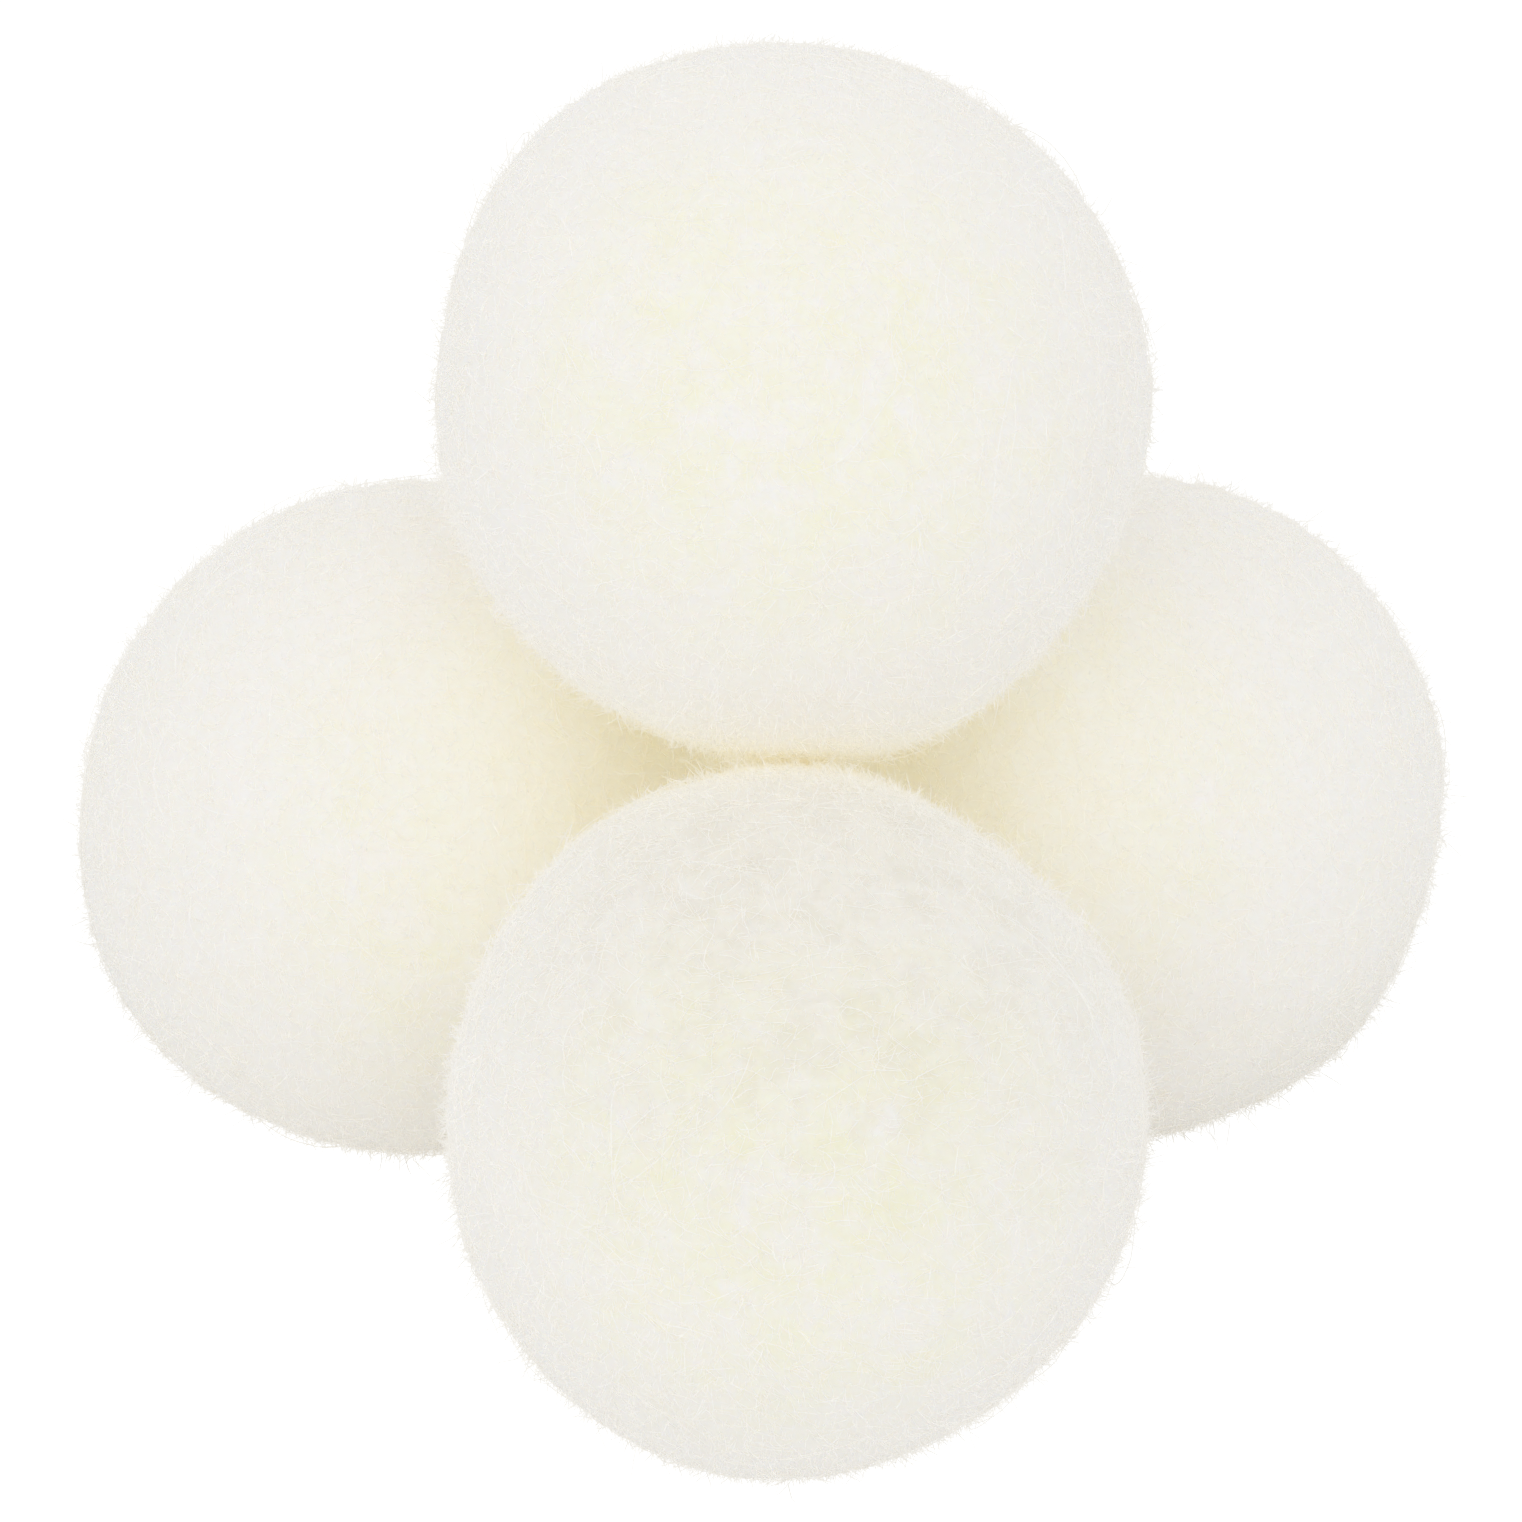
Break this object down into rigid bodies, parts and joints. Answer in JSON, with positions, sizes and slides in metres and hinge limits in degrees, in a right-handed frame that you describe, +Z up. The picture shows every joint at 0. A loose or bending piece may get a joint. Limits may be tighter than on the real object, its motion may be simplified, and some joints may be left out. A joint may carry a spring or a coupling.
{
  "type": "dryer ball",
  "caption": "Pile of loose felted wool balls that tumble with wet laundry in a dryer, to separate and soften it. Each is a rolled core, two crossed wraps and a felt skin.",
  "frame": {"origin": "on the table, under the middle of the pile's bounding box", "axes": "+Z up; +X across the two rear balls, from left to right; the front ball stands towards -Y"},
  "size_m": [0.1404, 0.1308, 0.1269],
  "materials": {
    "felt": "undyed cream wool felt, matt, with a short soft fuzz",
    "carded_wool": "carded wool, matt, pressed flat",
    "rolled_wool": "raw wool rolled hard, matt"
  },
  "bodies": {
    "front_ball": {"front_felt_skin": "felt", "front_cross_wrap": "carded_wool", "front_first_wrap": "carded_wool", "front_rolled_core": "rolled_wool"},
    "left_ball": {"left_felt_skin": "felt", "left_cross_wrap": "carded_wool", "left_first_wrap": "carded_wool", "left_rolled_core": "rolled_wool"},
    "right_ball": {"right_felt_skin": "felt", "right_cross_wrap": "carded_wool", "right_first_wrap": "carded_wool", "right_rolled_core": "rolled_wool"},
    "top_ball": {"top_felt_skin": "felt", "top_cross_wrap": "carded_wool", "top_first_wrap": "carded_wool", "top_rolled_core": "rolled_wool"}
  },
  "joints": [
    {"name": "top_lifts_off", "type": "slide", "parent": "front_ball", "child": "top_ball", "axis": [0, 0, 1], "range_m": [0, 0.12]},
    {"name": "left_rolls_away", "type": "slide", "parent": "front_ball", "child": "left_ball", "axis": [-0.866, 0.5, 0], "range_m": [0, 0.09]},
    {"name": "right_rolls_away", "type": "slide", "parent": "front_ball", "child": "right_ball", "axis": [0.866, 0.5, 0], "range_m": [0, 0.09]}
  ]
}
